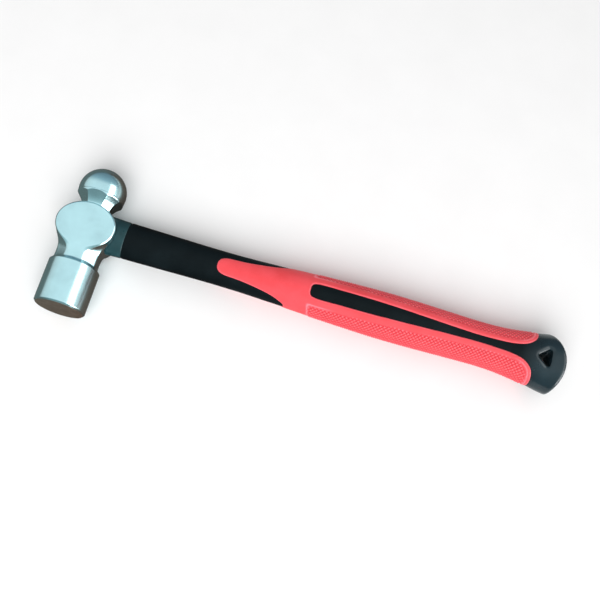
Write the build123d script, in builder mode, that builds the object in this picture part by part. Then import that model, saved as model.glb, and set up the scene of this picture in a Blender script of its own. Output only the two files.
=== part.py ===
from build123d import *
import os

# Ball peen hammer, lying on its side.
# +X runs along the handle from the head to the butt, +Y along the head from the striking face
# to the ball, +Z up through the flat cheeks. The origin is under the middle of the whole hammer,
# on the surface it lies on. Sizes below are measured from the eye centre, where the head's axis
# and the handle's axis cross. Millimetres.

# ---- driving dimensions: head ----
overall_length = 337.0
cheek_half_width = 19.3        # along the handle
cheek_half_height = 15.6       # along the head
cheek_centre = -1.0            # the eye block's middle, a little towards the striking face
cheek_half_thickness = 13.2
cheek_bevel = 0.9
poll_radius = 16.5
poll_reach = 56.0              # eye centre to the striking face
poll_shoulder = 26.0           # eye centre to the back of the poll
poll_shoulder_radius = 15.3
poll_shoulder_slope = 1.6
face_chamfer = 1.2
poll_neck_radius = 13.8
poll_neck_swell = 1.1          # the neck's extra radius where it starts to spread
poll_neck_swell_reach = 18.5
poll_neck_root_radius = 17.8   # where the neck runs into the eye block
poll_neck_root_reach = 9.0
ball_radius = 15.6
ball_centre = 27.2
rim_radius = 15.3
rim_reach = 22.8
rim_lip = 0.9
pein_neck_width = 19.0         # across the flats of the eight-sided neck
pein_neck_radius = 9.2
pein_neck_reach = 18.6
cup_start = 15.6               # where the cup-shaped underside of the ball begins inside the neck
cup_edge = 17.6
cup_swell = 1.4
cup_swell_reach = 20.6

# ---- driving dimensions: eye and what fills it ----
eye_waist_y = 9.8
eye_waist_z = 6.6
eye_mouth_y = 11.2
eye_mouth_z = 7.8
resin_recess = 0.7
collar_inner_end = 11.0
collar_end = 25.5
collar_head_y = 12.9
collar_head_z = 8.9

# ---- driving dimensions: handle ----
core_width = 15.0
core_depth = 9.0
core_end = 287.0
grip_thickness = 2.0
butt_radius = 30.0
butt_lean = -3.3               # the butt's arc is centred a little towards the striking face
butt_edge = 2.4
butt_trim = 26.0               # reach of the trimming block beyond the handle's sides

# Half width and half depth of the handle at stations along it.
handle_stations = [
    (collar_end, 12.4, 8.2),
    (55.0, 12.0, 8.0),
    (92.0, 11.65, 8.0),
    (117.0, 12.25, 8.9),
    (143.0, 13.55, 11.0),
    (169.0, 14.55, 12.2),
    (196.0, 15.3, 12.7),
    (221.0, 15.1, 12.6),
    (247.0, 14.45, 12.1),
    (268.0, 14.3, 12.0),
    (281.0, 15.2, 12.4),
    (293.0, 17.0, 13.2),
    (305.0, 19.2, 14.2),
    (320.0, 21.4, 15.2),
]

# ---- driving dimensions: red grip, seen square to the cheeks ----
tongue_tip = 87.0
tongue_half_width = 5.8
tongue_nose = 5.0              # length of the tongue's round end
grip_wrap = 137.0              # from here the grip goes all the way round
inlay_start = 148.8
inlay_half_width = 4.9
inlay_nose = 4.0
grip_end = 298.6
grip_side_reach = 24.0         # beyond the widest part of the handle
window_end = 308.6             # past the grip's end
window_side_bend = 298.2       # where the window turns down the sides

# ---- driving dimensions: hang hole ----
hole_apex = 298.3
hole_base = 307.8
hole_half_width = 8.3
hole_corner = 1.8

# ---- the frame ----
eye_x = cheek_half_width - overall_length / 2
eye_y = (poll_reach - (ball_centre + ball_radius)) / 2
eye_z = poll_radius
eye_centre = Vector(eye_x, eye_y, eye_z)
butt_end = overall_length - cheek_half_width
middle = Plane(origin=eye_centre)
head_axis = Axis(eye_centre, (0, 1, 0))


def across_handle(x):
    """A plane square to the handle, its x along the head, at a distance from the eye centre."""
    return Plane(origin=eye_centre + Vector(x, 0, 0), x_dir=(0, 1, 0), z_dir=(1, 0, 0))


def across_head(y):
    """A plane square to the head, facing the ball, at a distance from the eye centre."""
    return Plane(origin=eye_centre + Vector(0, y, 0), x_dir=(1, 0, 0), z_dir=(0, 1, 0))


# ---- eye cavity: an oval hole along the handle, narrowest at the middle ----
with BuildPart() as eye_cavity:
    for side in (-1, 1):
        with BuildSketch(across_handle(0)):
            Ellipse(eye_waist_y, eye_waist_z)
        with BuildSketch(across_handle(side * (cheek_half_width + 1))):
            Ellipse(eye_mouth_y, eye_mouth_z)
        loft()

# ---- hammer head: forged and polished steel, one piece ----
with BuildPart() as poll_neck:
    # round, with a flat on each cheek
    with BuildSketch(middle):
        with BuildLine():
            Polyline((0, 0), (0, -poll_shoulder), (poll_neck_radius, -poll_shoulder))
            Spline(
                (poll_neck_radius, -poll_shoulder),
                (poll_neck_radius + poll_neck_swell, -poll_neck_swell_reach),
                (poll_neck_root_radius, -poll_neck_root_reach),
                tangents=((0, 1), (0.8, 1)),
            )
            Polyline(
                (poll_neck_root_radius, -poll_neck_root_reach),
                (poll_neck_root_radius, 0),
                (0, 0),
            )
        make_face()
    revolve(axis=head_axis)
    with BuildSketch(middle.offset(-cheek_half_thickness)):
        Rectangle(4 * cheek_half_width, 4 * poll_reach)
    extrude(amount=2 * cheek_half_thickness, mode=Mode.INTERSECT)

with BuildPart() as hammer_head:
    # eye block
    with BuildSketch(middle.offset(-cheek_half_thickness)):
        with Locations((0, cheek_centre)):
            Ellipse(cheek_half_width, cheek_half_height)
    extrude(amount=2 * cheek_half_thickness)
    chamfer(hammer_head.faces().filter_by(Axis.Z).edges(), cheek_bevel)
    add(poll_neck.part)
    # eight-sided neck behind the ball
    with BuildSketch(across_head(0)):
        RegularPolygon(pein_neck_width / 2, 8, major_radius=False, rotation=22.5)
    extrude(amount=pein_neck_reach)
    # poll and striking face
    with BuildSketch(middle):
        with BuildLine():
            Polyline(
                (0, -poll_shoulder),
                (poll_shoulder_radius, -poll_shoulder),
                (poll_radius, -poll_shoulder - poll_shoulder_slope),
                (poll_radius, -poll_reach + face_chamfer),
                (poll_radius - face_chamfer, -poll_reach),
                (0, -poll_reach),
                close=True,
            )
        make_face()
    revolve(axis=head_axis)
    # ball, its rim and the cup-shaped underside
    lip_reach = rim_reach + rim_lip
    lip_radius = (ball_radius**2 - (ball_centre - lip_reach) ** 2) ** 0.5
    with BuildSketch(middle):
        with BuildLine():
            Polyline(
                (0, ball_centre + ball_radius),
                (0, cup_start),
                (pein_neck_radius, cup_start),
                (pein_neck_radius, cup_edge),
            )
            Spline(
                (pein_neck_radius, cup_edge),
                (pein_neck_radius + cup_swell, cup_swell_reach),
                (rim_radius, rim_reach),
            )
            Line((rim_radius, rim_reach), (lip_radius, lip_reach))
            ThreePointArc(
                (lip_radius, lip_reach),
                (ball_radius * 0.8, ball_centre + ball_radius * 0.6),
                (0, ball_centre + ball_radius),
            )
        make_face()
    revolve(axis=head_axis)
    add(eye_cavity.part, mode=Mode.SUBTRACT)
hammer_head.part.label = "hammer_head"

# ---- outline of the eye block, drawn in by the depth that the resin stands below it ----
with BuildPart() as resin_limit:
    with BuildSketch(middle.offset(-cheek_half_thickness)):
        with Locations((0, cheek_centre)):
            Ellipse(cheek_half_width - resin_recess, cheek_half_height - resin_recess)
    extrude(amount=2 * cheek_half_thickness)

# ---- fibreglass core: a flat-sided rod from the far side of the eye to the hang hole ----
with BuildPart() as fibreglass_core:
    with BuildSketch(across_handle(0)):
        SlotOverall(core_width, core_depth)
    extrude(amount=-cheek_half_width)
    add(resin_limit.part, mode=Mode.INTERSECT)
    with BuildSketch(across_handle(0)):
        SlotOverall(core_width, core_depth)
    extrude(amount=core_end)
fibreglass_core.part.label = "fibreglass_core"

# ---- eye resin: cast between the core and the walls of the eye ----
with BuildPart() as eye_resin:
    add(eye_cavity.part)
    add(resin_limit.part, mode=Mode.INTERSECT)
    with BuildSketch(across_handle(collar_inner_end)):
        Rectangle(4 * cheek_half_width, 4 * cheek_half_width)
    extrude(amount=cheek_half_width, mode=Mode.SUBTRACT)
    add(fibreglass_core.part, mode=Mode.SUBTRACT)
eye_resin.part.label = "eye_resin"

# ---- eye collar: plugs the eye below the resin and seats the head on the handle ----
with BuildPart() as eye_collar:
    with BuildSketch(across_handle(collar_inner_end)):
        Ellipse(collar_head_y, collar_head_z)
    with BuildSketch(across_handle(collar_end)):
        Ellipse(handle_stations[0][1], handle_stations[0][2])
    loft()
    add(hammer_head.part, mode=Mode.SUBTRACT)
    add(fibreglass_core.part, mode=Mode.SUBTRACT)
eye_collar.part.label = "eye_collar"

# ---- the handle's whole outer shape ----
with BuildPart() as handle_shape:
    for x, half_width, half_depth in handle_stations:
        with BuildSketch(across_handle(x)):
            Ellipse(half_width, half_depth)
    loft()
    # the butt is a broad arc seen square to the cheeks
    with BuildSketch(middle.offset(-butt_trim)):
        with Locations((butt_end - butt_radius, butt_lean)):
            Circle(butt_radius)
            Rectangle(
                2 * overall_length,
                2 * butt_trim,
                align=(Align.MAX, Align.CENTER),
            )
    extrude(amount=2 * butt_trim, mode=Mode.INTERSECT)
    butt_face = handle_shape.faces().sort_by(Axis.X)[-1]
    fillet(butt_face.edges(), butt_edge)

# ---- the handle body under the grip ----
with BuildPart() as grip_bed:
    for x, half_width, half_depth in handle_stations[1:-1]:
        with BuildSketch(across_handle(x)):
            Ellipse(half_width - grip_thickness, half_depth - grip_thickness)
    loft()

# ---- red grip: soft sleeve with a tongue, two arms and a window on each cheek side ----
with BuildPart() as red_grip:
    with BuildSketch(middle.offset(-butt_trim)):
        with BuildLine():
            # the tongue widens until it meets round the sides
            ThreePointArc(
                (tongue_tip, 0),
                (tongue_tip + 0.28 * tongue_nose, 0.72 * tongue_half_width),
                (tongue_tip + tongue_nose, tongue_half_width),
            )
            Spline(
                (tongue_tip + tongue_nose, tongue_half_width),
                (105.0, 6.8),
                (114.0, 8.0),
                (124.0, 9.8),
                (131.0, 11.8),
                (134.8, 13.3),
                (grip_wrap, grip_side_reach),
                tangents=((1, 0.05), (0.1, 1)),
            )
            Polyline(
                (grip_wrap, grip_side_reach),
                (grip_end, grip_side_reach),
                (grip_end, 0),
                (tongue_tip, 0),
            )
        make_face()
        mirror(about=Plane.XZ)
        with BuildLine():
            # the window narrows behind the hand and opens out into the butt
            ThreePointArc(
                (inlay_start, 0),
                (inlay_start + 0.28 * inlay_nose, 0.74 * inlay_half_width),
                (inlay_start + inlay_nose, inlay_half_width),
            )
            Spline(
                (inlay_start + inlay_nose, inlay_half_width),
                (170.0, 5.1),
                (190.0, 4.95),
                (215.0, 4.1),
                (240.0, 3.0),
                (258.0, 2.45),
                (272.0, 2.7),
                (284.0, 3.7),
                (291.0, 5.7),
                (296.2, 10.0),
                (window_side_bend, 15.0),
                (grip_end, grip_side_reach),
                tangents=((1, 0.06), (0, 1)),
            )
            Polyline(
                (grip_end, grip_side_reach),
                (window_end, grip_side_reach),
                (window_end, 0),
                (inlay_start, 0),
            )
        window = make_face(mode=Mode.PRIVATE)
        add(window, mode=Mode.SUBTRACT)
        add(window.mirror(Plane.XZ), mode=Mode.SUBTRACT)
    extrude(amount=2 * butt_trim)
    add(handle_shape.part, mode=Mode.INTERSECT)
    add(grip_bed.part, mode=Mode.SUBTRACT)
red_grip.part.label = "red_grip"

# ---- handle body: black moulded jacket from the collar to the butt, with the hang hole ----
with BuildPart() as handle_body:
    add(handle_shape.part)
    add(red_grip.part, mode=Mode.SUBTRACT)
    add(fibreglass_core.part, mode=Mode.SUBTRACT)
    with BuildSketch(middle.offset(-butt_trim)) as hang_hole:
        with BuildLine():
            Polyline(
                (hole_apex, 0),
                (hole_base, hole_half_width),
                (hole_base, -hole_half_width),
                close=True,
            )
        make_face()
        fillet(hang_hole.vertices(), hole_corner)
    extrude(amount=2 * butt_trim, mode=Mode.SUBTRACT)
handle_body.part.label = "handle_body"

pieces = {
    "hammer_head": hammer_head,
    "fibreglass_core": fibreglass_core,
    "eye_resin": eye_resin,
    "eye_collar": eye_collar,
    "handle_body": handle_body,
    "red_grip": red_grip,
}
os.makedirs("parts", exist_ok=True)
for name, piece in pieces.items():
    export_step(piece.part, f"parts/{name}.step")
    box = piece.part.bounding_box()
    print(name, len(piece.part.solids()), round(piece.part.volume), box.min, box.max)
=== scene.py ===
"""Looks of the ball peen hammer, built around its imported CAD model.

The hammer lies on its side: +X along the handle from head to butt, +Y along the head from the
striking face to the ball, +Z up through the cheeks. Shapes are worked out in millimetres from
the eye centre, where the head's axis and the handle's axis cross, and placed in metres.
"""
import math

import bpy
import numpy as np
from mathutils import Matrix, Vector


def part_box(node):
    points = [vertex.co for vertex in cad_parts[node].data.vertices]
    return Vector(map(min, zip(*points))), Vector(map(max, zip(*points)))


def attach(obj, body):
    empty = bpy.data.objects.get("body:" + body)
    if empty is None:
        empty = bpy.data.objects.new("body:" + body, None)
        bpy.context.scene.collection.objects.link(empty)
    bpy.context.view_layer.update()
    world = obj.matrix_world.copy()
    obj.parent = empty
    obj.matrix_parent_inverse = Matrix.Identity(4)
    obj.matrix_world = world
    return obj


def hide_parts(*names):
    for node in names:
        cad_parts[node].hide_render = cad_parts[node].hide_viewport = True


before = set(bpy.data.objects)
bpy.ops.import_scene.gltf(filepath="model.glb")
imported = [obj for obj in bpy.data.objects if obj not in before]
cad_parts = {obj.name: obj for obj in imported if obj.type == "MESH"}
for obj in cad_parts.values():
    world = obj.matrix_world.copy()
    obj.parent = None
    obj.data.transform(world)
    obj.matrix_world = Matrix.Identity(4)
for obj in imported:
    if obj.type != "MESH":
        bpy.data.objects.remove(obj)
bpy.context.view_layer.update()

MM = 0.001

# ---- places read from the frame (metres) ----
head_low, head_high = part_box("hammer_head")
core_low, core_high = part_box("fibreglass_core")
collar_low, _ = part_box("eye_collar")
body_low, body_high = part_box("handle_body")
EYE = Vector((
    (head_low.x + head_high.x) / 2,
    (core_low.y + core_high.y) / 2,
    (head_low.z + head_high.z) / 2,
))

# ---- sizes of the head, in millimetres from the eye centre ----
CHEEK_X = (head_high.x - head_low.x) / 2 / MM      # half width along the handle
CHEEK_Y = 15.6                                     # half height along the head
CHEEK_MID = -1.0                                   # the eye block's middle along the head
CHEEK_Z = 13.2                                     # half thickness
POLL_R = (head_high.z - head_low.z) / 2 / MM
POLL_END = (head_low.y - EYE.y) / MM
POLL_BACK = -26.0
BALL_TOP = (head_high.y - EYE.y) / MM
BALL_R = 15.6
BALL_MID = BALL_TOP - BALL_R
RIM_Y = 22.8
RIM_R = 15.3
NECK_FACET = math.radians(38)                      # lean of the poll neck's long facets
NECK_WAIST = 13.9                                  # reach of those facets at the thinnest place
NECK_WAIST_Y = -21.0
NECK_FLARE = 0.014                                 # growth each way from there, by the distance squared
NECK_FACET_SHARE = 0.943                           # the facets' and the sides' reach, as shares
NECK_SIDE_SHARE = 0.965
NECK_BLEND = 4.2                                   # rounding where the neck meets the eye block
NECK_TOP = -7.5
CHEEK_BEVEL = 0.9
POLL_BACK_R = 15.3                                 # radius of the poll where its sloping back starts
POLL_BACK_SLOPE = (0.8, 1.3)
FACE_BEVEL = 1.3
STEM_START = 13.0                                  # the eight-sided neck under the ball flares from here
STEM_HALF = 9.3
STEM_FLARE = 6.0
STEM_CURVE = 1.9                                   # power of that flare
STEM_CORNER = 1.47                                 # reach of its corner flats, as a share of two sides
EYE_BEVEL = 0.6
EYE_WAIST = (9.8, 6.6)
EYE_MOUTH = (11.2, 7.8)

# ---- sizes of the handle ----
SHAFT_START = (body_low.x - EYE.x) / MM
BUTT_END = (body_high.x - EYE.x) / MM
BUTT_R = 30.0
BUTT_LEAN = -3.3                                   # the butt's arc is centred a little off the axis
BUTT_EDGE = 2.4
GRIP_DEPTH = 2.0
STATIONS = np.array([
    # along, half width, half depth
    (SHAFT_START, 12.4, 8.2),
    (55.0, 12.0, 8.0),
    (92.0, 11.65, 8.0),
    (117.0, 12.25, 8.9),
    (143.0, 13.55, 11.0),
    (169.0, 14.55, 12.2),
    (196.0, 15.3, 12.7),
    (221.0, 15.1, 12.6),
    (247.0, 14.45, 12.1),
    (268.0, 14.3, 12.0),
    (281.0, 15.2, 12.4),
    (293.0, 17.0, 13.2),
    (305.0, 19.2, 14.2),
    (320.0, 21.4, 15.2),
])
CORE_HALF = (7.5, 4.5)


# =====================================================================
# Mesh helpers
# =====================================================================

def make_object(name, points, faces, material, sharp_angle=None):
    """A mesh object from points in millimetres about the eye centre."""
    mesh = bpy.data.meshes.new(name)
    placed = np.asarray(points, float) * MM + np.array(EYE)
    mesh.from_pydata(placed.tolist(), [], [tuple(int(i) for i in f) for f in faces])
    mesh.validate()
    mesh.update()
    mesh.polygons.foreach_set("use_smooth", [True] * len(mesh.polygons))
    if sharp_angle is not None:
        mesh.set_sharp_from_angle(angle=math.radians(sharp_angle))
    mesh.materials.append(material)
    obj = bpy.data.objects.new(name, mesh)
    bpy.context.scene.collection.objects.link(obj)
    return obj


def spline(xs, ys):
    """The natural cubic spline through the points, as a function."""
    xs, ys = np.asarray(xs, float), np.asarray(ys, float)
    n = len(xs)
    h = np.diff(xs)
    a = np.zeros((n, n))
    b = np.zeros(n)
    a[0, 0] = a[-1, -1] = 1
    for i in range(1, n - 1):
        a[i, i - 1:i + 2] = h[i - 1], 2 * (h[i - 1] + h[i]), h[i]
        b[i] = 6 * ((ys[i + 1] - ys[i]) / h[i] - (ys[i] - ys[i - 1]) / h[i - 1])
    m = np.linalg.solve(a, b)

    def at(x):
        x = np.asarray(x, float)
        i = np.clip(np.searchsorted(xs, x) - 1, 0, n - 2)
        left, right = xs[i + 1] - x, x - xs[i]
        return (
            (m[i] * left**3 + m[i + 1] * right**3) / (6 * h[i])
            + (ys[i] / h[i] - m[i] * h[i] / 6) * left
            + (ys[i + 1] / h[i] - m[i + 1] * h[i] / 6) * right
        )

    return at


def smooth_step(value):
    t = np.clip(value, 0, 1)
    return t * t * (3 - 2 * t)


def curve_through(points, steps=28):
    """A centripetal Catmull-Rom curve through the points."""
    p = np.asarray(points, float)
    p = np.vstack([2 * p[0] - p[1], p, 2 * p[-1] - p[-2]])
    out = []
    for i in range(1, len(p) - 2):
        knots = [0.0]
        for a, b in zip(p[i - 1:i + 2], p[i:i + 3]):
            knots.append(knots[-1] + np.linalg.norm(b - a) ** 0.5)
        t0, t1, t2, t3 = knots
        t = np.linspace(t1, t2, steps, endpoint=False)[:, None]
        a1 = (t1 - t) / (t1 - t0) * p[i - 1] + (t - t0) / (t1 - t0) * p[i]
        a2 = (t2 - t) / (t2 - t1) * p[i] + (t - t1) / (t2 - t1) * p[i + 1]
        a3 = (t3 - t) / (t3 - t2) * p[i + 1] + (t - t2) / (t3 - t2) * p[i + 2]
        b1 = (t2 - t) / (t2 - t0) * a1 + (t - t0) / (t2 - t0) * a2
        b2 = (t3 - t) / (t3 - t1) * a2 + (t - t1) / (t3 - t1) * a3
        out.append((t2 - t) / (t2 - t1) * b1 + (t - t1) / (t2 - t1) * b2)
    out.append(p[-2][None])
    return np.vstack(out)


def distance_to_line(points, line):
    """Distance from each point to a run of straight segments."""
    best = np.full(len(points), 1e9)
    for a, b in zip(line[:-1], line[1:]):
        ab = b - a
        t = np.clip(((points - a) @ ab) / max(ab @ ab, 1e-12), 0, 1)
        best = np.minimum(best, np.hypot(*(points - a - t[:, None] * ab).T))
    return best


def inside_loop(points, loop):
    """Even-odd test of points against a closed loop."""
    inside = np.zeros(len(points), bool)
    x, y = points[:, 0], points[:, 1]
    for (ax, ay), (bx, by) in zip(loop, np.roll(loop, -1, axis=0)):
        crosses = (ay > y) != (by > y)
        if ay != by:
            inside ^= crosses & (x < (bx - ax) * (y - ay) / (by - ay) + ax)
    return inside


# =====================================================================
# Head: one forging, as a smooth distance field turned into a mesh
# =====================================================================

def smooth_min(a, b, k):
    """The smaller of two values, rounded over a reach of k where they are close."""
    h = np.clip(0.5 + 0.5 * (b - a) / k, 0, 1)
    return b * (1 - h) + a * h - k * h * (1 - h)


def smooth_max(a, b, k):
    return -smooth_min(-a, -b, k)


def bevel_max(a, b, size, soft):
    """Where two surfaces meet, a flat bevel of that size with softened edges."""
    return smooth_max(smooth_max(a, b, soft), (a + b + size) * math.sqrt(0.5), soft)


def ellipse_field(u, v, ru, rv):
    """Distance, near enough, to an ellipse; negative inside."""
    near = np.sqrt((u / ru) ** 2 + (v / rv) ** 2) + 1e-9
    slope = np.sqrt((u / ru**2) ** 2 + (v / rv**2) ** 2) + 1e-9
    return near * (near - 1) / slope


def head_field(p):
    """Signed distance, near enough, to the head's surface; negative in the steel."""
    x, y, z = p[..., 0], p[..., 1], p[..., 2]
    radius = np.sqrt(x * x + z * z)
    # eye block and poll neck, blended, then cut flat on both cheeks
    block = ellipse_field(x, y - CHEEK_MID, CHEEK_X, CHEEK_Y)
    waist = NECK_WAIST + NECK_FLARE * (y - NECK_WAIST_Y) ** 2
    facet = np.abs(x) * math.sin(NECK_FACET) + np.abs(z) * math.cos(NECK_FACET)
    sides = np.abs(x) / NECK_SIDE_SHARE - waist
    neck = 0.95 * smooth_max(facet / NECK_FACET_SHARE - waist, sides, 0.9)
    neck = np.maximum(neck, np.maximum(y - NECK_TOP, POLL_BACK - 2 - y))
    trunk = smooth_min(block, neck, NECK_BLEND)
    trunk = bevel_max(trunk, np.abs(z) - CHEEK_Z, CHEEK_BEVEL, 0.35)
    # poll
    across, along = POLL_BACK_SLOPE
    back = (radius * across + (y - POLL_BACK) * along - POLL_BACK_R * across) / math.hypot(across, along)
    poll = smooth_max(radius - POLL_R, back, 0.5)
    poll = bevel_max(poll, POLL_END - y, FACE_BEVEL, 0.3)
    head = smooth_min(trunk, poll, 0.9)
    # eight-sided neck that flares to the rim under the ball
    grow = np.clip((y - STEM_START) / (RIM_Y - STEM_START), 0, 1)
    half = STEM_HALF + STEM_FLARE * grow**STEM_CURVE
    side = np.maximum(np.abs(x), np.abs(z)) - half
    corner = (np.abs(x) + np.abs(z) - half * STEM_CORNER) * math.sqrt(0.5)
    stem = smooth_max(side, corner, 0.35) * 0.8
    stem = smooth_max(stem, radius - RIM_R, 0.3)
    stem = np.maximum(stem, 8.0 - y)
    stem = smooth_max(stem, y - (RIM_Y + 0.5), 0.3)
    ball = np.sqrt(x * x + (y - BALL_MID) ** 2 + z * z) - BALL_R
    ball = np.maximum(ball, RIM_Y - y)
    pein = smooth_min(stem, ball, 0.5)
    head = smooth_min(head, pein, 1.2)
    # the eye, an oval hole narrowest at its middle
    t = np.abs(x) / CHEEK_X
    ry = EYE_WAIST[0] + (EYE_MOUTH[0] - EYE_WAIST[0]) * t
    rz = EYE_WAIST[1] + (EYE_MOUTH[1] - EYE_WAIST[1]) * t
    hole = ellipse_field(y, z, ry, rz)
    return bevel_max(head, -hole, EYE_BEVEL, 0.3)


def surface_net(field, low, high, step):
    """Quads on the zero surface of a field sampled on a grid."""
    axes = [np.arange(a, b + step, step) for a, b in zip(low, high)]
    grid = np.stack(np.meshgrid(*axes, indexing="ij"), axis=-1)
    value = field(grid).astype(np.float32)
    inside = value < 0
    shape = np.array(inside.shape) - 1
    total = np.zeros(tuple(shape) + (3,), np.float32)
    count = np.zeros(tuple(shape), np.int32)

    def at_corner(place):
        return value[tuple(slice(start, start + size) for start, size in zip(place, shape))]

    corners = [(i, j, k) for i in (0, 1) for j in (0, 1) for k in (0, 1)]
    for a in corners:
        for axis in range(3):
            if a[axis]:
                continue
            b = list(a)
            b[axis] = 1
            va, vb = at_corner(a), at_corner(b)
            cross = (va < 0) != (vb < 0)
            t = np.where(cross, va / np.where(cross, va - vb, 1), 0)
            for k in range(3):
                total[..., k] += np.where(cross, a[k] + (t if k == axis else 0), 0)
            count += cross
    active = count > 0
    number = np.full(tuple(shape), -1, np.int64)
    number[active] = np.arange(active.sum())
    cells = np.argwhere(active)
    points = (cells + total[active] / count[active][:, None]) * step + np.array([a[0] for a in axes])
    quads = []
    for axis in range(3):
        u, v = (axis + 1) % 3, (axis + 2) % 3
        first = np.take(inside, range(inside.shape[axis] - 1), axis)
        second = np.take(inside, range(1, inside.shape[axis]), axis)
        edges = np.argwhere(first != second)
        edges = edges[(edges[:, u] > 0) & (edges[:, v] > 0)]
        leaving = first[tuple(edges.T)]
        ring = []
        for du, dv in ((1, 1), (0, 1), (0, 0), (1, 0)):
            cell = edges.copy()
            cell[:, u] -= du
            cell[:, v] -= dv
            ring.append(number[tuple(cell.T)])
        ring = np.stack(ring, 1)
        ring[~leaving] = ring[~leaving][:, ::-1]
        quads.append(ring)
    return points, np.vstack(quads)


def field_slope(field, points, reach=0.02):
    """The field's gradient, by differences over that reach."""
    slope = np.zeros_like(points)
    for axis in range(3):
        shift = np.zeros(3)
        shift[axis] = reach
        slope[:, axis] = (field(points + shift) - field(points - shift)) / (2 * reach)
    return slope


def build_head(material, step=0.42):
    """Nets the head's surface, pulls each point onto it and takes the normals from the field."""
    low = np.array([-CHEEK_X - 2, POLL_END - 2, -POLL_R - 2])
    high = np.array([CHEEK_X + 2, BALL_TOP + 2, POLL_R + 2])
    points, quads = surface_net(head_field, low, high, step)
    for _ in range(4):
        slope = field_slope(head_field, points)
        size = np.maximum((slope**2).sum(1), 1e-6)
        points = points - slope * (head_field(points) / size)[:, None] * 0.9
    normals = field_slope(head_field, points, 0.12)
    normals /= np.linalg.norm(normals, axis=1)[:, None] + 1e-12
    head = make_object("head_forging", points, quads, material)
    head.data.normals_split_custom_set_from_vertices(normals.tolist())
    return head


# =====================================================================
# Handle: rows along X and columns round it, shared by the jacket and the grip
# =====================================================================

PITCH = 2.6                 # diagonal of one diamond of the grip's texture
COLUMNS = 128               # a multiple of 16, so the diamonds meet on both side lines
STUD_HEIGHT = 0.85
TONGUE_TIP = 87.0
BUTT_ROWS_FROM = 297.0      # the last regular row; from here rows bend to the butt's end
BUTT_SIDE_ROWS = 26
BUTT_ROUND_ROWS = 6
BUTT_CAP_ROWS = 9
CORE_END = (core_high.x - EYE.x) / MM
PLUG_END = (collar_low.x - EYE.x) / MM
COLLAR_HEAD = (12.9, 8.9)
HOLE_ROWS = 8
width_at = spline(STATIONS[:, 0], STATIONS[:, 1])
depth_at = spline(STATIONS[:, 0], STATIONS[:, 2])

TONGUE = curve_through([
    (87.0, -1.8), (87.0, 1.8), (88.4, 4.2), (92.0, 5.8), (98.0, 6.3), (105.0, 6.8), (114.0, 8.0),
    (124.0, 9.8), (131.0, 11.8), (134.8, 13.4), (136.6, 17.0), (137.0, 24.0),
])
WINDOW = curve_through([
    (148.8, -2.3), (148.8, 2.3), (149.9, 4.1), (152.8, 4.9), (170.0, 5.1), (190.0, 4.95),
    (215.0, 4.1), (240.0, 3.0), (258.0, 2.45), (272.0, 2.7), (284.0, 3.7), (291.0, 5.7),
    (296.2, 10.0), (298.2, 15.0), (298.6, 24.0),
])
HOLE = (298.3, 307.8, 8.3, 1.8)      # apex, base, half width, corner radius

# the textured patch on each arm of the grip
PATCH_START = 151.0
PATCH_START_CURVE = 0.025            # how far its head end bows towards the head
PATCH_CORNER = 4.0
BAND_FROM, BAND_TO = 155, 290        # along the handle, the smooth band beside the window narrows
BAND_WIDTHS = (5.6, 2.7)
PATCH_ENDS = (170, 14), (283, 8)     # where its two ends stop, and over how far they fade
PATCH_SINK = 0.34                    # the texture's valleys below the smooth skin
RIDGE_HEIGHT = 0.16                  # a raised line round the patch's two ends
RIDGE_OUT = 0.45                     # the line's distance outside the patch
GRIP_EDGE_DROP, GRIP_EDGE_WIDTH = 0.5, 1.1

# the jacket beside the grip and round its openings
JACKET_DIP, JACKET_DIP_WIDTH = 0.28, 7
JACKET_EDGE_DROP, JACKET_EDGE_WIDTH = 0.22, 0.7
HOLE_DISH, HOLE_DISH_WIDTH = 1.1, 2.2
START_DROP, START_WIDTH = 0.3, 0.8


def ring_arc(x, samples=481):
    """Angles and distances round the quarter section from the side (0) to the cheek (pi/2)."""
    a, b = width_at(x), depth_at(x)
    phi = np.linspace(0, math.pi / 2, samples)
    speed = np.sqrt((a * np.sin(phi)) ** 2 + (b * np.cos(phi)) ** 2)
    arc = np.concatenate([[0], np.cumsum((speed[1:] + speed[:-1]) / 2 * np.diff(phi))])
    return phi, arc


def unroll(line):
    """Outline points (x, y) seen square to the cheek, as (x, distance round from the cheek line)."""
    out = []
    for x, y in line:
        a = float(width_at(x))
        phi, arc = ring_arc(x)
        quarter = arc[-1]
        if abs(y) < a:
            angle = math.acos(abs(y) / a)
            s = quarter - np.interp(angle, phi, arc)
        else:
            s = quarter + abs(y) - a
        out.append((x, math.copysign(s, y)))
    return np.array(out)


def skin_rows():
    """Where the handle's rows lie: wide apart on the shaft, a quarter of a diamond under the grip."""
    step = PITCH / 4
    fine_from = math.ceil((TONGUE_TIP - 2.5) / step)
    fine_to = math.floor(BUTT_ROWS_FROM / step)
    coarse = np.linspace(SHAFT_START, fine_from * step, 46)[:-1]
    return coarse, np.arange(fine_from, fine_to + 1) * step


def butt_edge_at(phi):
    """The sharp corner between the handle's side and the butt's end, before it is rounded."""
    x = np.full_like(phi, BUTT_END - 8)
    for _ in range(60):
        y = width_at(x) * np.cos(phi)
        x = 0.5 * x + 0.5 * butt_end_at(y)
    return x


def butt_end_at(y):
    return BUTT_END - BUTT_R + np.sqrt(BUTT_R**2 - (y - BUTT_LEAN) ** 2)


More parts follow.
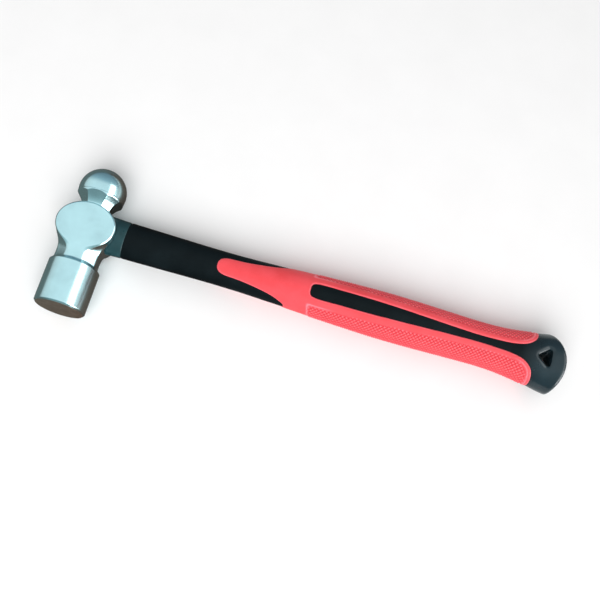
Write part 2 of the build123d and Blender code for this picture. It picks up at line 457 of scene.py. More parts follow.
class Skin:
    """The handle's outer skin as rows and columns of points, with what each point needs to know:
    how far it is round from the side line, and how far inside or outside the grip's outline."""

    def __init__(self):
        coarse, fine = skin_rows()
        rows = np.concatenate([coarse, fine])
        quarter = COLUMNS // 4
        fold = np.arange(COLUMNS) % (2 * quarter)
        fold = np.where(fold > quarter, 2 * quarter - fold, fold)
        turn = np.arange(COLUMNS) // quarter
        places, sides, rounds = [], [], []

        def full_angles(base):
            return np.choose(turn, [base, math.pi - base, math.pi + base, 2 * math.pi - base])

        for x in rows:
            angles, arc = ring_arc(x)
            share = np.linspace(0, arc[-1], quarter + 1)
            phi = full_angles(np.interp(share, arc, angles)[fold])
            a, b = float(width_at(x)), float(depth_at(x))
            places.append(np.stack([np.full(COLUMNS, x), a * np.cos(phi), b * np.sin(phi)], 1))
            sides.append(share[fold])
            rounds.append(np.full(COLUMNS, arc[-1]))
        last = rows[-1]
        edge = butt_edge_at(phi)
        edge_y, edge_z = width_at(edge) * np.cos(phi), depth_at(edge) * np.sin(phi)
        start = edge - BUTT_EDGE
        for t in np.linspace(0, 1, BUTT_SIDE_ROWS + 1)[1:]:
            x = last + t * (start - last)
            places.append(np.stack([x, width_at(x) * np.cos(phi), depth_at(x) * np.sin(phi)], 1))
        reach = np.hypot(edge_y, edge_z)
        inner = 1 - BUTT_EDGE / reach
        side_point = places[-1]
        corner = np.stack([edge, edge_y, edge_z], 1)
        end_point = np.stack([butt_end_at(inner * edge_y), inner * edge_y, inner * edge_z], 1)
        for t in np.linspace(0, 1, BUTT_ROUND_ROWS + 1)[1:]:
            places.append((1 - t) ** 2 * side_point + 2 * t * (1 - t) * corner + t**2 * end_point)
        for t in np.linspace(1, 0, BUTT_CAP_ROWS + 1)[1:-1]:
            y, z = inner * edge_y * t, inner * edge_z * t
            places.append(np.stack([butt_end_at(y), y, z], 1))
        while len(sides) < len(places):
            sides.append(sides[-1])
            rounds.append(rounds[-1])
        self.base = np.array(places)
        self.side = np.array(sides)
        self.round = np.array(rounds)
        self.row_count = len(self.base)
        self.pattern_from = len(coarse)
        self.pattern_index = int(round(fine[0] / (PITCH / 4)))
        along = np.gradient(self.base, axis=0)
        across = np.roll(self.base, -1, 1) - np.roll(self.base, 1, 1)
        normal = np.cross(across, along)
        self.normal = normal / (np.linalg.norm(normal, axis=2)[..., None] + 1e-12)
        self.measure_outline()

    def measure_outline(self):
        """Distances over the unrolled skin to the edges of the tongue and of the window."""
        tongue, window = unroll(TONGUE), unroll(WINDOW)
        spot = np.stack([self.base[..., 0], self.round - self.side], 2).reshape(-1, 2)
        near = (spot[:, 0] > TONGUE_TIP - 12) & (spot[:, 0] < WINDOW[-1, 0] + 14)
        beyond = 60.0
        tongue_loop = np.vstack([tongue, (400, beyond), (400, -beyond), (tongue[0, 0], -beyond)])
        window_loop = np.vstack([
            window, (window[-1, 0], beyond), (400, beyond), (400, -beyond), (window[0, 0], -beyond)
        ])
        to_tongue = np.full(len(spot), 30.0)
        to_window = np.full(len(spot), 30.0)
        to_tongue[near] = distance_to_line(spot[near], tongue)
        to_window[near] = distance_to_line(spot[near], window)
        in_tongue = inside_loop(spot, tongue_loop)
        in_window = inside_loop(spot, window_loop)
        shape = self.side.shape
        red = in_tongue & ~in_window
        far = np.minimum(to_tongue, to_window)
        self.red = np.where(red, far, -far).reshape(shape)
        self.from_window = np.where(in_window, -to_window, to_window).reshape(shape)


def diamond(i, j):
    """Height, 0 to 1, of the grip's four-sided studs at a node of the skin."""
    u, v = (i + j) / 4, (i - j) / 4
    u, v = u - np.round(u), v - np.round(v)
    return 1 - 2 * np.maximum(np.abs(u), np.abs(v))


def hole_outline(samples=14):
    """The hang hole seen square to the cheeks: a triangle with round corners, anticlockwise."""
    apex, base, half, r = HOLE
    corners = np.array([(apex, 0.0), (base, -half), (base, half)])
    out = []
    for i in range(3):
        p, before, after = corners[i], corners[i - 1], corners[(i + 1) % 3]
        a = (before - p) / np.linalg.norm(before - p)
        b = (after - p) / np.linalg.norm(after - p)
        half_angle = math.acos(np.clip(a @ b, -1, 1)) / 2
        centre = p + (a + b) / np.linalg.norm(a + b) * r / math.sin(half_angle)
        start = p + a * r / math.tan(half_angle) - centre
        turn = math.pi - 2 * half_angle
        for t in np.linspace(0, turn, samples):
            c, s = math.cos(t), math.sin(t)
            out.append(centre + np.array([c * start[0] - s * start[1], s * start[0] + c * start[1]]))
    return np.array(out)


def cut_cells(cells, field, edge_point):
    """Splits cells that a line field = 0 crosses. Returns the faces on the field's positive side,
    those on its negative side and the cut's edges, each from the positive face's point of view."""
    above, below, edges = [], [], []
    for cell in cells:
        plus, minus, cut = [], [], []
        for a, b in zip(cell, np.roll(cell, -1)):
            fa, fb = field[a], field[b]
            (plus if fa >= 0 else minus).append(a)
            if (fa >= 0) != (fb >= 0):
                c = edge_point(a, b)
                plus.append(c)
                minus.append(c)
                cut.append((c, fa >= 0))
        if len(plus) >= 3:
            above.append(plus)
        if len(minus) >= 3:
            below.append(minus)
        if len(cut) == 2:
            (c, leaving), (d, _) = cut
            edges.append((c, d) if leaving else (d, c))
    return above, below, edges


class HandleMesh:
    """Turns the skin into two closed solids that meet along the grip's outline."""

    def __init__(self, skin):
        self.skin = skin
        rows, columns = skin.row_count, COLUMNS
        i, j = np.meshgrid(np.arange(rows), np.arange(columns), indexing="ij")
        self.base = skin.base.reshape(-1, 3)
        self.normal = skin.normal.reshape(-1, 3)
        self.red = skin.red.reshape(-1)
        self.from_window = skin.from_window.reshape(-1)
        self.side = skin.side.reshape(-1)
        pattern_row = i - skin.pattern_from + skin.pattern_index
        self.stud = diamond(pattern_row, j).reshape(-1)
        self.added = {}
        self.extra = []
        a = (i[:-1] * columns + j[:-1])
        right = (j[:-1] + 1) % columns
        cells = np.stack([a, i[:-1] * columns + right, (i[:-1] + 1) * columns + right,
                          (i[:-1] + 1) * columns + j[:-1]], -1).reshape(-1, 4)
        even = ((pattern_row[:-1] + j[:-1]) % 2 == 0).reshape(-1)
        signs = self.red[cells] >= 0
        whole_red = signs.all(1)
        whole_black = ~signs.any(1)
        mixed = ~(whole_red | whole_black)
        top = cells[whole_red]
        flag = even[whole_red]
        main = top[flag]
        anti = top[~flag]
        self.red_faces = [tuple(f) for f in np.vstack([
            main[:, [0, 1, 2]], main[:, [0, 2, 3]], anti[:, [0, 1, 3]], anti[:, [1, 2, 3]],
        ])]
        red_cut, black_cut, self.outline = cut_cells(cells[mixed], self.red, self.cut_point)
        self.red_faces += [tuple(f) for f in red_cut]
        self.bed_faces = [tuple(f) for f in top] + [tuple(f) for f in red_cut]
        black = cells[whole_black]
        outline = hole_outline()
        y_x = self.base[:, :2]
        near = (y_x[:, 0] > HOLE[0] - 4) & (y_x[:, 0] < HOLE[1] + 6) & (np.abs(y_x[:, 1]) < HOLE[2] + 4)
        self.from_hole = np.full(len(self.base), 30.0)
        d = distance_to_line(y_x[near], np.vstack([outline, outline[:1]]))
        d[inside_loop(y_x[near], outline)] *= -1
        self.from_hole[near] = d
        # the end cap lies past the hole and is never cut by it
        cap_start = (skin.row_count - BUTT_CAP_ROWS - BUTT_ROUND_ROWS) * columns
        self.from_hole[cap_start:] = 30.0
        signs = self.from_hole[black] >= 0
        kept = [tuple(f) for f in black[signs.all(1)]]
        crossed = black[signs.any(1) & ~signs.all(1)]
        open_cut, _, self.hole_edges = cut_cells(crossed, self.from_hole, self.cut_hole)
        self.black_faces = kept + [tuple(f) for f in black_cut] + [tuple(f) for f in open_cut]
        self.finish_points()

    def cut_between(self, a, b, field):
        t = field[a] / (field[a] - field[b])
        self.extra.append((a, b, t))
        return len(self.base) + len(self.extra) - 1

    def cut_point(self, a, b):
        key = (min(a, b), max(a, b), "grip")
        if key not in self.added:
            self.added[key] = self.cut_between(key[0], key[1], self.red)
        return self.added[key]

    def cut_hole(self, a, b):
        key = (min(a, b), max(a, b), "hole")
        if key not in self.added:
            self.added[key] = self.cut_between(key[0], key[1], self.from_hole)
        return self.added[key]

    def finish_points(self):
        """Adds the points on cut edges to the skin, with everything known about them."""
        a, b, t = (np.array(v) for v in zip(*self.extra))
        t = t[:, None]

        def mix(values):
            return np.concatenate([values, values[a] * (1 - t[:, 0]) + values[b] * t[:, 0]])

        self.base = np.vstack([self.base, self.base[a] * (1 - t) + self.base[b] * t])
        normal = np.vstack([self.normal, self.normal[a] * (1 - t) + self.normal[b] * t])
        self.normal = normal / (np.linalg.norm(normal, axis=1)[:, None] + 1e-12)
        self.red, self.from_window, self.side, self.stud, self.from_hole = (
            mix(v) for v in (self.red, self.from_window, self.side, self.stud, self.from_hole)
        )

    def raised(self, height):
        return self.base + self.normal * np.asarray(height)[..., None]

    def patch_depth(self):
        """How far inside the textured patch a point is."""
        x = self.base[:, 0]
        band = np.interp(x, (BAND_FROM, BAND_TO), BAND_WIDTHS)
        start = PATCH_START - PATCH_START_CURVE * np.minimum(self.side, 10) ** 2
        return smooth_min(self.from_window - band, x - start, PATCH_CORNER)

    def patch_ends(self):
        """1 at the textured patch's two ends, 0 along its middle."""
        x = self.base[:, 0]
        (head_end, head_fade), (butt_end, butt_fade) = PATCH_ENDS
        return smooth_step((head_end - x) / head_fade) + smooth_step((x - butt_end) / butt_fade)

    def grip_height(self):
        """The grip's outer skin above the base shape: rounded edges, ridges and studs."""
        d = np.maximum(self.red, 0)
        height = -GRIP_EDGE_DROP * np.maximum(1 - d / GRIP_EDGE_WIDTH, 0) ** 2
        patch = self.patch_depth()
        height += RIDGE_HEIGHT * self.patch_ends() * np.exp(-((patch + RIDGE_OUT) / 0.5) ** 2)
        height -= PATCH_SINK * smooth_step(patch / 0.5)
        height += STUD_HEIGHT * smooth_step((patch - 0.4) / 0.9) * self.stud
        return height

    def relief_light_and_shade(self):
        """Painted light and shade, 0 to 1: 0 is painted shade in the valleys between studs, 1 a painted
        highlight on their tips and along lit rims, 0.5 where smooth.
        """
        patch = self.patch_depth()
        on_patch = smooth_step((patch - 0.2) / 0.6)
        # painted highlight along the ridge round the patch's two ends
        rim = self.patch_ends() * np.exp(-((patch + RIDGE_OUT) / 0.4) ** 2)
        # painted highlight along the grip's rounded edge beside the jacket
        edge = 0.45 * np.exp(-((self.red - 0.35) / 0.3) ** 2)
        smooth = 0.5 + 0.5 * np.clip(rim + edge, 0, 1) * (self.red > 0)
        return smooth * (1 - on_patch) + on_patch * self.stud

    def jacket_height(self):
        """The jacket's outer skin: dipped beside the grip and dished round the hole."""
        d = np.maximum(-self.red, 0)
        edge = np.maximum(1 - d / JACKET_EDGE_WIDTH, 0)
        height = -JACKET_DIP * smooth_step(1 - d / JACKET_DIP_WIDTH) - JACKET_EDGE_DROP * edge**2
        dish = np.maximum(1 - np.maximum(self.from_hole, 0) / HOLE_DISH_WIDTH, 0)
        start = np.maximum(1 - (self.base[:, 0] - SHAFT_START) / START_WIDTH, 0)
        return height - HOLE_DISH * dish**2 - START_DROP * start**2


def core_ring(phi, x, grow=0.0):
    """A ring on the flat-sided core, one point for each angle."""
    r = CORE_HALF[1] + grow
    straight = CORE_HALF[0] - CORE_HALF[1]
    c, s = np.cos(phi), np.sin(phi)
    flat = r / np.maximum(np.abs(s), 1e-9)
    on_flat = np.abs(flat * c) <= straight
    round_reach = straight * np.abs(c) + np.sqrt(np.maximum(r**2 - (straight * s) ** 2, 0))
    reach = np.where(on_flat, flat, round_reach)
    return np.stack([np.full_like(phi, x), reach * c, reach * s], 1)


def ring_faces(first, second, count):
    """Faces between two closed rings whose points are numbered on from first and second."""
    faces = []
    for k in range(count):
        n = (k + 1) % count
        faces.append((second + k, second + n, first + n, first + k))
    return faces


def compact(points, faces):
    """Drops points that no face uses. Returns the points, the faces and which points were kept."""
    used = sorted({int(i) for f in faces for i in f})
    number = {old: new for new, old in enumerate(used)}
    return points[used], [tuple(number[int(i)] for i in f) for f in faces], used


def build_grip(handle, material):
    """The red sleeve: its outer skin, its underside and the walls between them."""
    count = len(handle.base)
    top = handle.raised(handle.grip_height())
    bottom = handle.raised(np.full(count, -GRIP_DEPTH + 0.02))
    faces = list(handle.red_faces)
    faces += [tuple(i + count for i in f[::-1]) for f in handle.bed_faces]
    faces += [(b, a, a + count, b + count) for a, b in handle.outline]
    relief_light_and_shade = np.concatenate([handle.relief_light_and_shade(), np.full(count, 0.5)])
    points, faces, used = compact(np.vstack([top, bottom]), faces)
    sleeve = make_object("grip_sleeve", points, faces, material, sharp_angle=62)
    sleeve.data.attributes.new("relief_light_and_shade", "FLOAT", "POINT").data.foreach_set("value", relief_light_and_shade[used])
    return sleeve


def build_jacket(handle, material):
    """The black jacket: skin, the grip's bed, the bore for the core and the hang hole."""
    skin = handle.skin
    count = len(handle.base)
    top = handle.raised(handle.jacket_height())
    bed = handle.raised(np.full(count, -GRIP_DEPTH))
    faces = list(handle.black_faces)
    faces += [tuple(i + count for i in f) for f in handle.bed_faces]
    faces += [(a, b, b + count, a + count) for a, b in handle.outline]
    points = [top, bed]
    total = 2 * count
    # the butt's middle
    last = (skin.row_count - 1) * COLUMNS
    points.append(np.array([[butt_end_at(0), 0, 0]]))
    faces += [(last + k, last + (k + 1) % COLUMNS, total) for k in range(COLUMNS)]
    total += 1
    # the bore for the core, from the shaft's open end to a blind end
    phi = np.arctan2(skin.base[0, :, 2], skin.base[0, :, 1])
    mouth, blind = core_ring(phi, SHAFT_START, 0.02), core_ring(phi, CORE_END, 0.02)
    points += [mouth, blind, np.array([[CORE_END, 0, 0]])]
    faces += ring_faces(0, total, COLUMNS)
    faces += ring_faces(total, total + COLUMNS, COLUMNS)
    centre = total + 2 * COLUMNS
    faces += [(total + COLUMNS + (k + 1) % COLUMNS, total + COLUMNS + k, centre) for k in range(COLUMNS)]
    total = centre + 1
    # the hang hole's wall, from the rim on one cheek to the rim on the other
    rim = sorted({i for edge in handle.hole_edges for i in edge})
    front = [i for i in rim if handle.base[i, 2] > 0]
    back = [i for i in rim if handle.base[i, 2] < 0]
    middle = np.array([(HOLE[0] + 2 * HOLE[1]) / 3, 0])

    def angle(i):
        return math.atan2(*(handle.base[i, :2] - middle)[::-1])

    front.sort(key=angle)
    back.sort(key=angle)
    if len(front) != len(back):
        raise ValueError("the hang hole's two rims differ")
    levels = np.linspace(1, -1, HOLE_ROWS + 2)[1:-1]
    rings = [front]
    for level in levels:
        upper, lower = top[front], top[back]
        ring = (upper + lower) / 2 + (upper - lower) / 2 * level
        inward = middle - ring[:, :2]
        inward /= np.linalg.norm(inward, axis=1)[:, None]
        ring[:, :2] += inward * 0.35 * (1 - level**2)
        points.append(ring)
        rings.append(list(range(total, total + len(front))))
        total += len(front)
    rings.append(back)
    for first, second in zip(rings[:-1], rings[1:]):
        n = len(first)
        faces += [(first[k], first[(k + 1) % n], second[(k + 1) % n], second[k]) for k in range(n)]
    points, faces, _ = compact(np.vstack(points), faces)
    return make_object("handle_jacket", points, faces, material, sharp_angle=40)


def build_collar(material, columns=120):
    """The collar: seated on the head's side, beveled towards the shaft, with a plug in the eye."""
    phi = np.linspace(0, 2 * math.pi, columns, endpoint=False)

    def half_axes(x):
        t = (x - PLUG_END) / (SHAFT_START - PLUG_END)
        return [head + (shaft - head) * t for head, shaft in zip(COLLAR_HEAD, STATIONS[0, 1:])]

    def outer(x, inset=0.0):
        a, b = half_axes(x)
        return np.stack([x + 0 * phi, (a - inset) * np.cos(phi), (b - inset) * np.sin(phi)], 1)

    seat_x = np.full(columns, SHAFT_START - 2.0)
    for _ in range(60):
        spot = outer(seat_x)
        seat_x = seat_x - np.clip(head_field(spot), -1, 1) * 0.8
    rings = [outer(SHAFT_START, 0.45), outer(SHAFT_START - 0.25, 0.14), outer(SHAFT_START - 0.7, 0.0)]
    for t in np.linspace(0, 1, 14)[1:-1]:
        rings.append(outer(SHAFT_START - 0.7 + t * (seat_x + 0.3 - SHAFT_START + 0.7)))
    rings.append(outer(seat_x + 0.12, 0.06))
    mouth = EYE_MOUTH[0] - 0.15, EYE_MOUTH[1] - 0.15
    rings.append(np.stack([seat_x, mouth[0] * np.cos(phi), mouth[1] * np.sin(phi)], 1))
    share = PLUG_END / CHEEK_X
    plug = [w + (m - w) * share - 0.15 for w, m in zip(EYE_WAIST, EYE_MOUTH)]
    rings.append(np.stack([PLUG_END + 0 * phi, plug[0] * np.cos(phi), plug[1] * np.sin(phi)], 1))
    direction = np.arctan2(np.sin(phi) * plug[1], np.cos(phi) * plug[0])
    rings.append(core_ring(direction, PLUG_END, 0.02))
    rings.append(core_ring(direction, SHAFT_START, 0.02))
    points, faces = np.vstack(rings), []
    for k in range(len(rings)):
        faces += ring_faces(k * columns, (k + 1) % len(rings) * columns, columns)
    return make_object("collar_ring", points, faces, material, sharp_angle=40)


# =====================================================================
# Materials
# =====================================================================

class NodeTree:
    """A shader node tree, built node by node."""

    def __init__(self, tree):
        self.nodes, self.links = tree.nodes, tree.links

    def node(self, kind, sockets=None, **settings):
        made = self.nodes.new(kind)
        for name, value in settings.items():
            setattr(made, name, value)
        for socket, value in (sockets or {}).items():
            if isinstance(value, bpy.types.NodeSocket):
                self.links.new(value, made.inputs[socket])
            else:
                made.inputs[socket].default_value = value
        return made

    def ramp(self, value, stops):
        made = self.node("ShaderNodeValToRGB", {0: value})
        elements = made.color_ramp.elements
        while len(elements) < len(stops):
            elements.new(0.5)
        for element, (position, colour) in zip(elements, stops):
            element.position = position
            element.color = (*colour, 1)
        return made.outputs[0]

    def to_range(self, value, low, high, new_low, new_high):
        made = self.node("ShaderNodeMapRange", {
            0: value, 1: low, 2: high, 3: new_low, 4: new_high,
        }, clamp=True)
        return made.outputs[0]

    def mix(self, share, first, second, blend="MIX"):
        sockets = {0: share, 6: first, 7: second}
        return self.node("ShaderNodeMix", sockets, data_type="RGBA", blend_type=blend).outputs[2]

    def math(self, operation, first, second=0.0):
        return self.node("ShaderNodeMath", {0: first, 1: second}, operation=operation).outputs[0]


class Paint(NodeTree):
    """A material: a principled shader and the nodes that feed it."""

    def __init__(self, name, **shader):
        self.material = bpy.data.materials.new(name)
        self.material.use_nodes = True
        super().__init__(self.material.node_tree)
        self.shader = self.nodes["Principled BSDF"]
        for socket, value in shader.items():
            self.shader.inputs[socket.replace("_", " ")].default_value = value
        self.place = self.node("ShaderNodeTexCoord").outputs["Object"]

    def noise(self, scale, detail=4.0, roughness=0.5, stretch=(1, 1, 1), spread=0.0):
        mapped = self.node("ShaderNodeMapping", {"Vector": self.place, "Scale": stretch})
        made = self.node("ShaderNodeTexNoise", {
            "Vector": mapped.outputs[0], "Scale": scale, "Detail": detail,
            "Roughness": roughness, "Distortion": spread,
        })
        return made.outputs[0]

    def axis(self, name):
        return self.node("ShaderNodeSeparateXYZ", {0: self.place}).outputs[name]

    def bump(self, height, distance, strength=1.0, under=None):
        sockets = {"Height": height, "Distance": distance, "Strength": strength}
        if under is not None:
            sockets["Normal"] = under
        return self.node("ShaderNodeBump", sockets).outputs[0]

    def feed(self, socket, value):
        self.links.new(value, self.shader.inputs[socket])


TURNING_PITCH = 0.0007      # metres between the tool marks on the striking face


def polished_steel():
    """Ground and polished steel; the machined striking face is tinted brown-grey as a painted reflection.
    """
    paint = Paint("polished_steel", Metallic=1.0)
    metal = paint.ramp(paint.noise(70, 4), [
        (0.3, (0.52, 0.70, 0.73)), (0.5, (0.58, 0.78, 0.81)), (0.72, (0.62, 0.83, 0.86)),
    ])
    # the striking face: turned, and tinted brown-grey as a painted reflection of brown surroundings
    along = paint.axis("Y")
    face_plane = EYE.y + POLL_END * MM
    on_face = paint.to_range(along, face_plane + 0.0005, face_plane + 0.0002, 0.0, 1.0)
    centred = paint.node("ShaderNodeVectorMath", {0: paint.place, 1: tuple(EYE)}, operation="SUBTRACT")
    flat = paint.node("ShaderNodeVectorMath", {0: centred.outputs[0], 1: (1, 0, 1)}, operation="MULTIPLY")
    length = paint.node("ShaderNodeVectorMath", {0: flat.outputs[0]}, operation="LENGTH")
    from_middle = length.outputs["Value"]
    rings = paint.math("SINE", paint.math("MULTIPLY", from_middle, 2 * math.pi / TURNING_PITCH))
    # painted reflection: brown-grey base colour on the striking face
    face_reflection_tint = paint.ramp(paint.noise(160, 5, 0.6), [(0.3, (0.50, 0.385, 0.30)), (0.7, (0.66, 0.54, 0.44))])
    paint.feed("Base Color", paint.mix(on_face, metal, face_reflection_tint))
    # fine scratches one way along the head, and a trace of the forging's unevenness
    scratch = paint.noise(1400, 2, 0.5, (1, 0.10, 1))
    wear = paint.to_range(paint.noise(45, 5, 0.6), 0.3, 0.7, 0.11, 0.19)
    grain = paint.math("ADD", wear, paint.math("MULTIPLY", scratch, 0.06))
    paint.feed("Roughness", paint.math("ADD", grain, paint.math("MULTIPLY", on_face, 0.22)))
    forged = paint.bump(paint.noise(90, 2), 0.00008)
    scored = paint.bump(scratch, 0.000004, 1.0, forged)
    turned = paint.bump(paint.math("MULTIPLY", rings, on_face), 0.00002, 1.0, scored)
    paint.feed("Normal", turned)
    return paint.material


def black_plastic():
    """Satin moulded plastic, a fine grain on the shaft and smoother at the butt."""
    paint = Paint("black_plastic", IOR=1.45)
    tone = paint.noise(55, 5, 0.6)
    shaft = paint.ramp(tone, [
        (0.3, (0.0018, 0.0038, 0.0048)),
        (0.55, (0.0030, 0.0060, 0.0074)),
        (0.75, (0.0048, 0.0092, 0.0112)),
    ])
    end = paint.ramp(tone, [
        (0.3, (0.0065, 0.0150, 0.0205)),
        (0.55, (0.0090, 0.0205, 0.0275)),
        (0.75, (0.0120, 0.0265, 0.0350)),
    ])
    butt = paint.to_range(paint.axis("X"), EYE.x + 0.288, EYE.x + 0.304, 0.0, 1.0)
    paint.feed("Base Color", paint.mix(butt, shaft, end))
    paint.feed("Specular IOR Level", paint.to_range(butt, 0.0, 1.0, 0.12, 0.55))
    satin = paint.to_range(paint.noise(240, 4, 0.6), 0.3, 0.7, 0.36, 0.50)
    shine = paint.to_range(paint.noise(90, 4), 0.3, 0.7, 0.16, 0.24)
    rough = paint.node("ShaderNodeMix", {0: butt, 2: satin, 3: shine}, data_type="FLOAT").outputs[0]
    paint.feed("Roughness", rough)
    grain = paint.to_range(butt, 0.0, 1.0, 1.0, 0.35)
    fine = paint.math("MULTIPLY", paint.noise(2600, 2), grain)
    flow = paint.bump(paint.noise(60, 3, 0.5, (0.4, 1, 1)), 0.00018)
    paint.feed("Normal", paint.bump(fine, 0.000035, 1.0, flow))
    return paint.material


def soft_grip_red():
    """Soft moulded rubber, coral red, with a fine grain, painted highlights on its stud tips and rims,
    and painted shade between the studs.
    """
    paint = Paint("red_soft_grip", IOR=1.45, Specular_IOR_Level=0.35)
    tone = paint.ramp(paint.noise(38, 5, 0.62), [
        (0.28, (0.80, 0.060, 0.070)), (0.5, (0.86, 0.076, 0.092)), (0.74, (0.90, 0.092, 0.112)),
    ])
    # painted highlights, paler, on the studs' tips and along the rims; painted shade in the valleys
    # between the studs
    relief_light_and_shade = paint.node("ShaderNodeAttribute", attribute_name="relief_light_and_shade").outputs["Fac"]
    stud_light_and_shade = paint.ramp(relief_light_and_shade, [
        (0.0, (0.56, 0.026, 0.038)), (0.35, (0.80, 0.070, 0.088)), (0.5, (0.86, 0.085, 0.104)),
        (0.75, (0.93, 0.140, 0.175)), (1.0, (0.98, 0.240, 0.290)),
    ])
    off_smooth = paint.math("ABSOLUTE", paint.math("SUBTRACT", relief_light_and_shade, 0.5))
    textured = paint.to_range(off_smooth, 0.0, 0.08, 0.0, 1.0)
    paint.feed("Base Color", paint.mix(textured, tone, stud_light_and_shade))
    paint.feed("Roughness", paint.to_range(paint.noise(320, 4, 0.6), 0.3, 0.7, 0.34, 0.50))
    soft = paint.bump(paint.noise(75, 3), 0.00016)
    paint.feed("Normal", paint.bump(paint.noise(3200, 2), 0.00003, 1.0, soft))
    return paint.material


def collar_plastic():
    """Smooth moulded plastic with faint flow marks."""
    paint = Paint("collar_plastic", IOR=1.45, Specular_IOR_Level=0.35)
    tone = paint.noise(120, 4)
    paint.feed("Base Color", paint.ramp(tone, [
        (0.3, (0.009, 0.036, 0.042)), (0.6, (0.014, 0.050, 0.057)), (0.8, (0.020, 0.064, 0.073)),
    ]))
    paint.feed("Roughness", paint.to_range(paint.noise(260, 4), 0.3, 0.7, 0.26, 0.40))
    paint.feed("Normal", paint.bump(paint.noise(150, 3), 0.0001))
    return paint.material


def cast_resin():
    """Poured epoxy: dark, glossy, with a few trapped bubbles and a dished top."""
    paint = Paint("cast_resin", IOR=1.55, Coat_Weight=0.6, Coat_Roughness=0.08)
    cloud = paint.noise(260, 5, 0.6, spread=0.6)
    paint.feed("Base Color", paint.ramp(cloud, [
        (0.3, (0.020, 0.017, 0.014)), (0.6, (0.045, 0.037, 0.028)), (0.8, (0.075, 0.060, 0.042)),
    ]))
    paint.feed("Roughness", paint.to_range(cloud, 0.3, 0.7, 0.10, 0.28))
    bubbles = paint.node("ShaderNodeTexVoronoi", {"Vector": paint.place, "Scale": 900.0})
    dimples = paint.to_range(bubbles.outputs["Distance"], 0.0, 0.22, 0.0, 1.0)
    pits = paint.bump(dimples, 0.00012, 0.7)
    paint.feed("Normal", paint.bump(paint.noise(150, 2), 0.0006, 1.0, pits))
    return paint.material


def glass_fibre():
    """A sawn pultruded rod: glass strands end-on, in amber resin."""
    paint = Paint("fibreglass", IOR=1.5)
    lengthwise = paint.node("ShaderNodeMapping", {"Vector": paint.place, "Scale": (0.02, 1, 1)})
    strands = paint.node("ShaderNodeTexVoronoi", {"Vector": lengthwise.outputs[0], "Scale": 2400.0})
    bundle = paint.noise(420, 4, 0.6, (0.05, 1, 1))
    tone = paint.ramp(bundle, [
        (0.3, (0.42, 0.33, 0.15)), (0.55, (0.62, 0.53, 0.30)), (0.8, (0.78, 0.72, 0.50)),
    ])
    gap = paint.ramp(strands.outputs["Distance"], [(0.35, (1, 1, 1)), (0.75, (0.45, 0.36, 0.2))])
    paint.feed("Base Color", paint.mix(0.8, tone, gap, "MULTIPLY"))
    paint.feed("Roughness", paint.to_range(bundle, 0.3, 0.7, 0.45, 0.7))
    paint.feed("Normal", paint.bump(strands.outputs["Distance"], 0.00012))
    return paint.material


def pale_floor():
    """The studio floor, evenly pale to the camera and to diffuse light. Glossy rays see a painted
    reflection instead, so polished steel sees it dim.
    """
    paint = Paint("studio_floor", Roughness=0.9, Specular_IOR_Level=0.0)
    reflected = paint.node("ShaderNodeLightPath").outputs["Is Glossy Ray"]
    across = paint.to_range(paint.axis("X"), EYE.x - 0.05, EYE.x + 0.25, 0.0, 1.0)
    # painted reflection: glossy rays see dark grey, then brown, then paler bands across X
    painted_reflection = paint.ramp(across, [
        (0.0, (0.13, 0.16, 0.155)), (0.17, (0.12, 0.12, 0.115)), (0.25, (0.11, 0.075, 0.06)),
        (0.40, (0.14, 0.11, 0.095)), (0.52, (0.34, 0.40, 0.40)), (1.0, (0.78, 0.84, 0.84)),
    ])
    tone = paint.ramp(paint.noise(30, 3), [(0.3, (0.91, 0.91, 0.91)), (0.7, (0.93, 0.93, 0.93))])
    paint.feed("Base Color", paint.mix(reflected, tone, painted_reflection))
    return paint.material


# =====================================================================
# Building the hammer
# =====================================================================

steel = polished_steel()
black = black_plastic()
red = soft_grip_red()

head = build_head(steel)
skin = Skin()
handle = HandleMesh(skin)
jacket = build_jacket(handle, black)
grip = build_grip(handle, red)
collar = build_collar(collar_plastic())

for piece, node, slot in (
    (head, "hammer_head", "polished_steel"),
    (jacket, "handle_body", "black_plastic"),
    (grip, "red_grip", "red_soft_grip"),
    (collar, "eye_collar", "collar_plastic"),
):
    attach(piece, "root")
    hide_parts(node)
grip.visible_glossy = False

for node, material, slot in (
    ("eye_resin", cast_resin(), "cast_resin"),
    ("fibreglass_core", glass_fibre(), "fibreglass"),
):
    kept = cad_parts[node]
    kept.data.materials.clear()
    kept.data.materials.append(material)


# =====================================================================
# Studio
# =====================================================================

def add_floor(material, half=1.6):
    mesh = bpy.data.meshes.new("studio_floor")
    low = -0.0003
    mesh.from_pydata(
        [(-half, -half, low), (half, -half, low), (half, half, low), (-half, half, low)],
        [], [(0, 1, 2, 3)],
    )
    mesh.materials.append(material)
    floor = bpy.data.objects.new("studio_floor", mesh)
    bpy.context.scene.collection.objects.link(floor)


def add_softbox(name, place, aim, width, height, power, card=False):
    """A rectangular area light facing a point; a card is seen only in reflections."""
    light = bpy.data.lights.new(name, "AREA")
    light.shape = "RECTANGLE"
    light.size, light.size_y = width, height
    light.energy = power
    box = bpy.data.objects.new(name, light)
    box.location = place
    box.rotation_euler = (Vector(aim) - Vector(place)).to_track_quat("-Z", "Y").to_euler()
    box.visible_diffuse = not card
    box.visible_glossy = card
    bpy.context.scene.collection.objects.link(box)


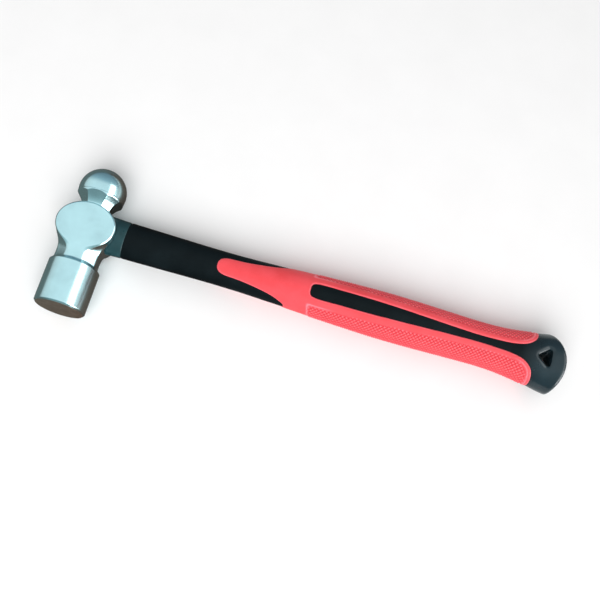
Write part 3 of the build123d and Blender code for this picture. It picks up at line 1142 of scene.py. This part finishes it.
def set_world():
    """Soft even light. Reflections see a graded sky between darker walls in front and behind."""
    world = bpy.data.worlds.new("studio")
    bpy.context.scene.world = world
    world.use_nodes = True
    tree = NodeTree(world.node_tree)
    direction = tree.node("ShaderNodeTexCoord").outputs["Generated"]
    parts = tree.node("ShaderNodeSeparateXYZ", {0: direction}).outputs
    sky = tree.ramp(parts["Z"], [
        (0.0, (0.42, 0.45, 0.45)), (0.08, (0.62, 0.70, 0.71)), (0.30, (0.74, 0.86, 0.88)),
        (0.62, (0.82, 0.97, 1.0)), (0.86, (0.84, 1.0, 1.04)),
    ])
    walls = tree.ramp(tree.to_range(parts["Y"], -1.0, 1.0, 0.0, 1.0), [
        (0.10, (0.34, 0.42, 0.43)), (0.30, (0.62, 0.72, 0.73)), (0.42, (1.0, 1.0, 1.0)),
        (0.72, (1.0, 1.0, 1.0)), (0.84, (0.46, 0.56, 0.62)), (0.97, (0.30, 0.38, 0.44)),
    ])
    ray = tree.node("ShaderNodeLightPath").outputs
    reflected = tree.mix(1.0, sky, walls, "MULTIPLY")
    seen = tree.mix(ray["Is Glossy Ray"], (0.56, 0.56, 0.56, 1), reflected)
    shown = tree.mix(ray["Is Camera Ray"], seen, (0.93, 0.93, 0.93, 1))
    tree.links.new(shown, tree.nodes["Background"].inputs["Color"])


def add_camera(azimuth, elevation, roll, distance, target, lens):
    """A camera set by its distance from a target, both in millimetres, and angles in degrees."""
    az, el, turn = (math.radians(v) for v in (azimuth, elevation, roll))
    back = Vector((math.sin(az) * math.cos(el), -math.cos(az) * math.cos(el), math.sin(el)))
    level = Vector((math.cos(az), math.sin(az), 0))
    upright = back.cross(level)
    right = level * math.cos(turn) + upright * math.sin(turn)
    up = -level * math.sin(turn) + upright * math.cos(turn)
    place = EYE + (Vector(target) + back * distance) * MM
    data = bpy.data.cameras.new("camera")
    data.sensor_width = 36.0
    data.lens = lens
    camera = bpy.data.objects.new("camera", data)
    camera.matrix_world = Matrix((
        (right.x, up.x, back.x, place.x),
        (right.y, up.y, back.y, place.y),
        (right.z, up.z, back.z, place.z),
        (0, 0, 0, 1),
    ))
    bpy.context.scene.collection.objects.link(camera)
    bpy.context.scene.camera = camera


add_floor(pale_floor())
set_world()
middle = Vector((EYE.x + 0.12, EYE.y, 0.015))
shaft = EYE + Vector((0.1, 0, 0))
add_softbox("strip_right", EYE + Vector((0.86, 0.0, 0.66)), EYE, 1.6, 0.56, 5.6, card=True)
add_softbox("low_right", EYE + Vector((1.0, -0.42, 0.27)), shaft, 0.8, 0.46, 9.0, card=True)
add_softbox("key", middle + Vector((0.1, -1.05, 1.15)), middle, 1.2, 1.2, 23.0)
add_camera(azimuth=-0.5, elevation=72.1, roll=16.8, distance=581, target=(144.0, -5.5, 0.0), lens=54.0)
bpy.context.scene.view_settings.view_transform = "Standard"
